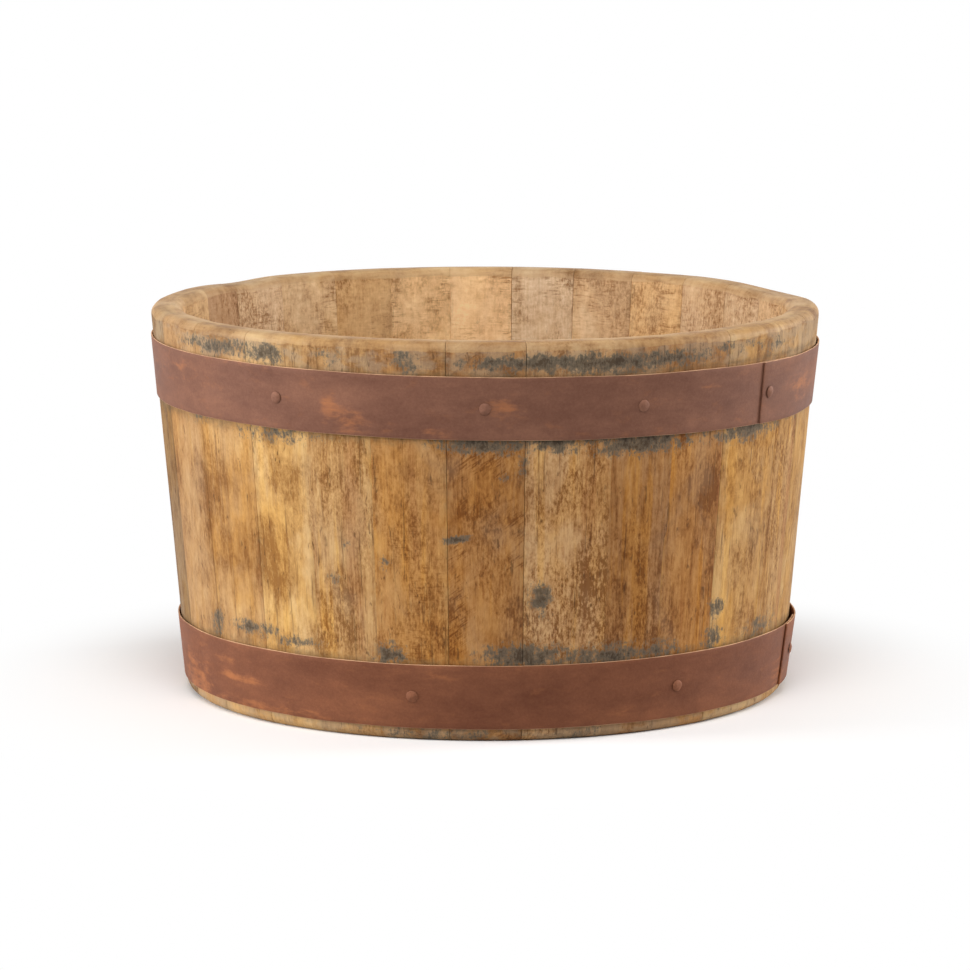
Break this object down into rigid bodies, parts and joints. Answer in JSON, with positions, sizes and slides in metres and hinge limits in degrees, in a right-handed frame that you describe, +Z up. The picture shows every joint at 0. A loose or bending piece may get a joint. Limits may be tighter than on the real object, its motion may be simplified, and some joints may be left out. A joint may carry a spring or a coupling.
{
  "type": "wooden barrel planter",
  "caption": "Round open tub of tapered wooden staves held by flat steel hoops, lapped and nailed, with a jointed board bottom set in a groove.",
  "frame": {"origin": "on the floor under the middle of the tub", "axes": "+Z up out of the tub's mouth; -Y is the side that faces the camera in the picture, and +X is its right"},
  "size_m": [0.5995, 0.5988, 0.346],
  "materials": {
    "stave_wood": "sanded reclaimed hardwood, waxed, with iron stains and saw marks",
    "head_wood": "sawn hardwood, matt",
    "dowel_wood": "plain hardwood dowel",
    "hoop_steel": "flat steel strap with a matt brown rust",
    "nail_steel": "domed nail heads, rusted like the strap"
  },
  "bodies": {
    "root": {"stave_01": "stave_wood", "stave_02": "stave_wood", "stave_03": "stave_wood", "stave_04": "stave_wood", "stave_05": "stave_wood", "stave_06": "stave_wood", "stave_07": "stave_wood", "stave_08": "stave_wood", "stave_09": "stave_wood", "stave_10": "stave_wood", "stave_11": "stave_wood", "stave_12": "stave_wood", "stave_13": "stave_wood", "stave_14": "stave_wood", "stave_15": "stave_wood", "stave_16": "stave_wood", "stave_17": "stave_wood", "stave_18": "stave_wood", "stave_19": "stave_wood", "stave_20": "stave_wood", "stave_21": "stave_wood", "stave_22": "stave_wood", "stave_23": "stave_wood", "stave_24": "stave_wood", "stave_25": "stave_wood", "stave_26": "stave_wood", "stave_27": "stave_wood", "stave_28": "stave_wood", "upper_hoop": "hoop_steel", "lower_hoop": "hoop_steel", "upper_nail_01": "nail_steel", "upper_nail_02": "nail_steel", "upper_nail_03": "nail_steel", "upper_nail_04": "nail_steel", "upper_nail_05": "nail_steel", "upper_nail_06": "nail_steel", "upper_nail_07": "nail_steel", "upper_nail_08": "nail_steel", "upper_nail_09": "nail_steel", "upper_nail_10": "nail_steel", "upper_nail_11": "nail_steel", "lower_nail_01": "nail_steel", "lower_nail_02": "nail_steel", "lower_nail_03": "nail_steel", "lower_nail_04": "nail_steel", "lower_nail_05": "nail_steel", "lower_nail_06": "nail_steel", "lower_nail_07": "nail_steel", "head_board_1": "head_wood", "head_board_2": "head_wood", "head_board_3": "head_wood", "head_board_4": "head_wood", "head_dowel_1": "dowel_wood", "head_dowel_2": "dowel_wood", "head_dowel_3": "dowel_wood", "head_dowel_4": "dowel_wood", "head_dowel_5": "dowel_wood", "head_dowel_6": "dowel_wood"}
  },
  "joints": []
}
